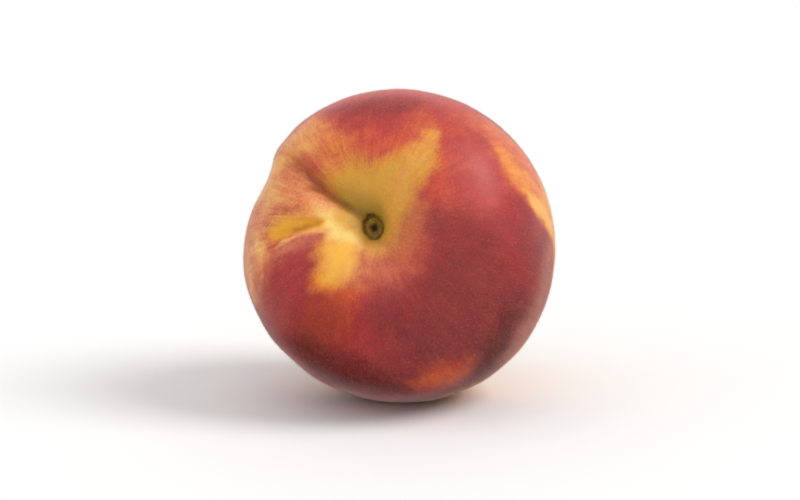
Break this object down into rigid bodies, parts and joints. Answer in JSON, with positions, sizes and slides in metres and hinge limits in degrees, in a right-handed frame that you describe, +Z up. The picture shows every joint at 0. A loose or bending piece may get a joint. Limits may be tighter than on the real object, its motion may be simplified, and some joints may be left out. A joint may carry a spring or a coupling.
{
  "type": "peach",
  "caption": "Ripe peach without its stalk, lying on its side: a round stone fruit with a deep stem cavity, a suture groove and a low pointed tip.",
  "frame": {"origin": "middle of the small flat spot on the underside, where the fruit rests", "axes": "+Z up as the fruit lies; the stem cavity faces -Y, about 21 degrees above level and 13 degrees towards -X; the tip points to +Y and down"},
  "size_m": [0.072, 0.072, 0.0724],
  "materials": {
    "peach_skin": "soft matt skin with fine down"
  },
  "bodies": {
    "root": {"peach": "peach_skin"}
  },
  "joints": []
}
